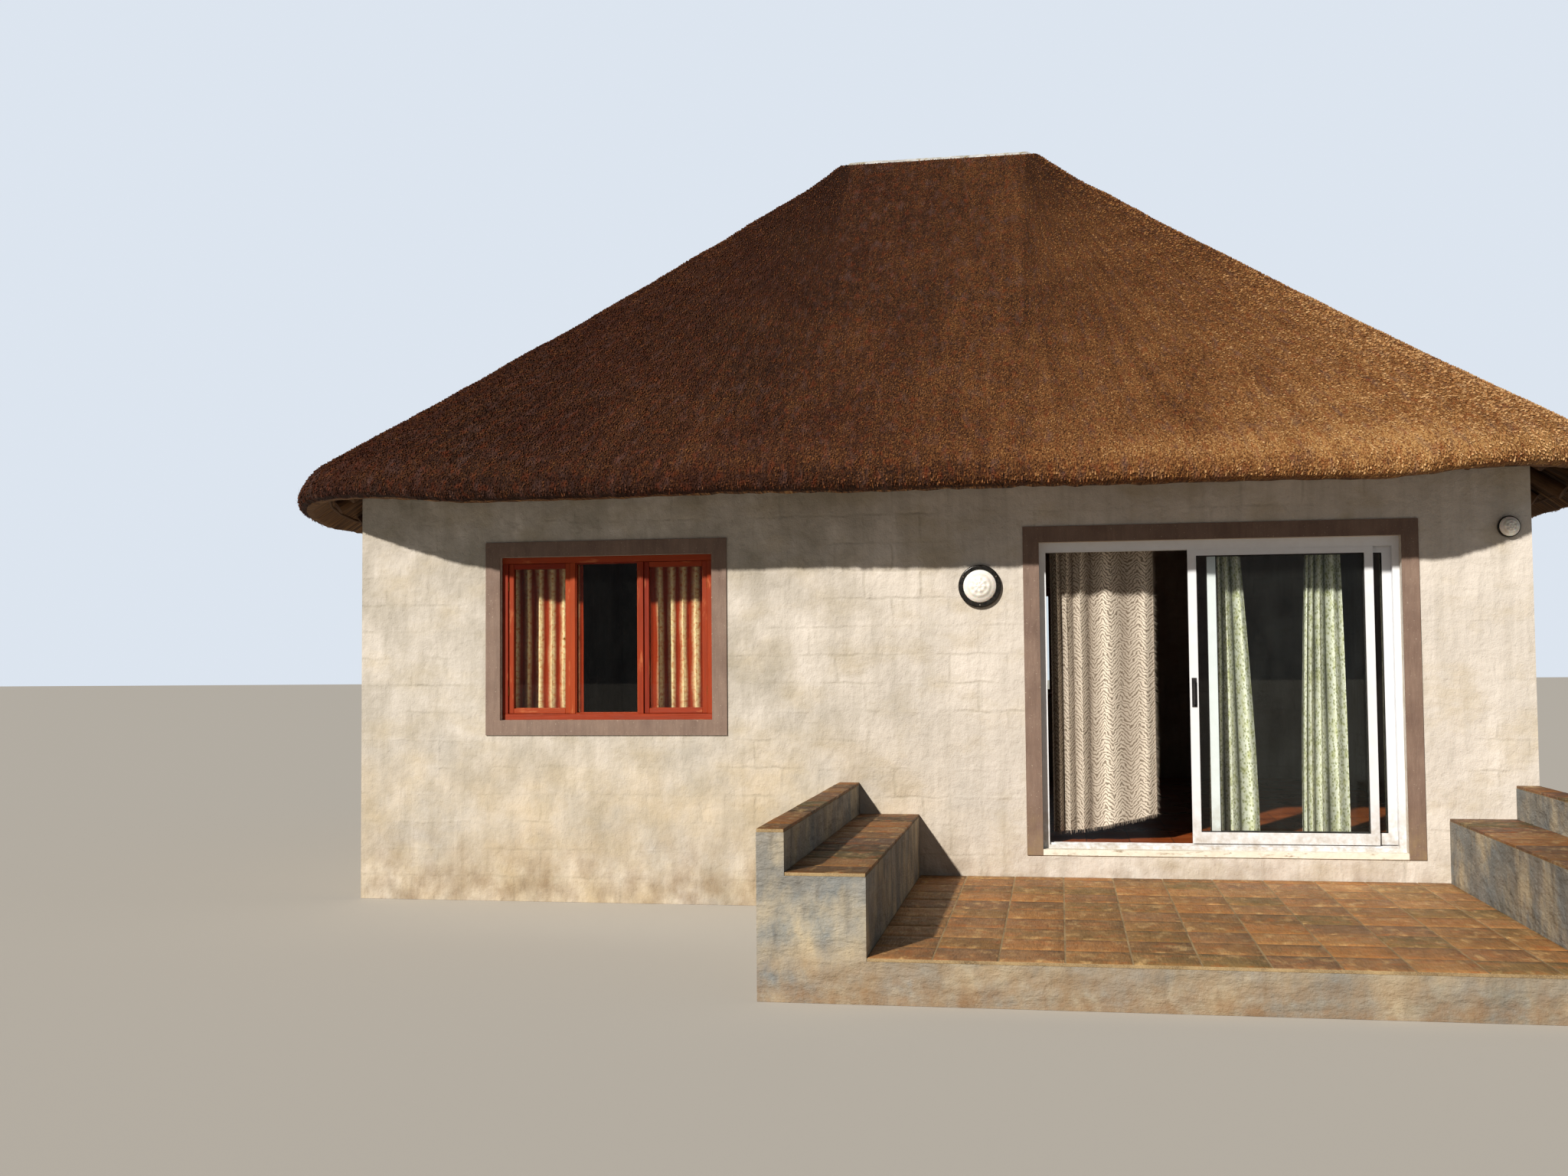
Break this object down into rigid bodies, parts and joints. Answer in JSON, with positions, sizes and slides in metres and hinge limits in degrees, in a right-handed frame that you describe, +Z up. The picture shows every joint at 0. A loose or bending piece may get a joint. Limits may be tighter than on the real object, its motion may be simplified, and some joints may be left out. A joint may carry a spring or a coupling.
{
  "type": "thatched hut",
  "caption": "Small dwelling with plastered walls under a hipped thatch roof on poles, a glass sliding door, timber windows and a raised tiled stoep with masonry seats.",
  "frame": {"origin": "ground level under the middle of the house, without its stoep", "axes": "+X along the front wall to the right seen from outside, +Y from the front to the back, +Z up"},
  "size_m": [9.85, 10.5, 6.3896],
  "materials": {
    "thatch": "combed reed butts, weathered golden brown",
    "mortar_cap": "rough cement mortar",
    "pole": "debarked gum pole, dark treated",
    "plate_timber": "sawn and treated pine",
    "wall_plaster": "bagged and painted cream over blockwork",
    "band_plaster": "smooth taupe painted plaster",
    "stoep_render": "trowelled grey cement render, stained",
    "slate_tile": "riven slate in brown, olive and rust with pale grout",
    "floor_tile": "polished terracotta",
    "window_timber": "varnished red meranti",
    "window_pane": "clear float glass",
    "door_pane": "clear safety glass",
    "white_aluminium": "white powder coat",
    "white_sill": "white painted sill",
    "black_handle": "black moulded plastic",
    "roller": "nylon",
    "rail": "dull steel",
    "cream_cloth": "woven herringbone cotton",
    "green_cloth": "printed cotton, pale green and white",
    "gold_cloth": "golden printed cotton",
    "light_black": "black enamel",
    "opal_glass": "opal glass, ribbed"
  },
  "bodies": {
    "hut": {"floor_slab": "floor_tile", "front_wall_left": "wall_plaster", "front_wall_right": "wall_plaster", "front_wall_over_door": "wall_plaster", "door_step": "wall_plaster", "left_wall": "wall_plaster", "right_wall": "wall_plaster", "back_wall": "wall_plaster", "wall_plates": "plate_timber", "rafters_front": "pole", "rafters_back": "pole", "rafters_left": "pole", "rafters_right": "pole", "ridge_pole": "pole", "thatch_front": "thatch", "thatch_back": "thatch", "thatch_left": "thatch", "thatch_right": "thatch", "ridge_cap": "mortar_cap", "window_frames": "window_timber", "window_sashes": "window_timber", "window_glass": "window_pane", "window_bands": "band_plaster", "door_band": "band_plaster", "door_sill": "white_sill", "door_frame": "white_aluminium", "fixed_panel": "white_aluminium", "fixed_glass": "door_pane", "door_curtain_rail": "rail", "cream_curtain": "cream_cloth", "green_curtains": "green_cloth", "window_curtain_rail": "rail", "window_curtains": "gold_cloth", "light_bases": "light_black", "light_domes": "opal_glass", "stoep_slab": "stoep_render", "stoep_tiles": "slate_tile", "left_seat_wall": "stoep_render", "right_seat_wall": "stoep_render", "seat_tiles": "slate_tile"},
    "sliding_door": {"sliding_panel": "white_aluminium", "sliding_glass": "door_pane", "door_handle": "black_handle", "door_rollers": "roller"}
  },
  "joints": [
    {"name": "door_slide", "type": "slide", "parent": "hut", "child": "sliding_door", "axis": [1, 0, 0], "range_m": [-0.962, 0.116]}
  ]
}
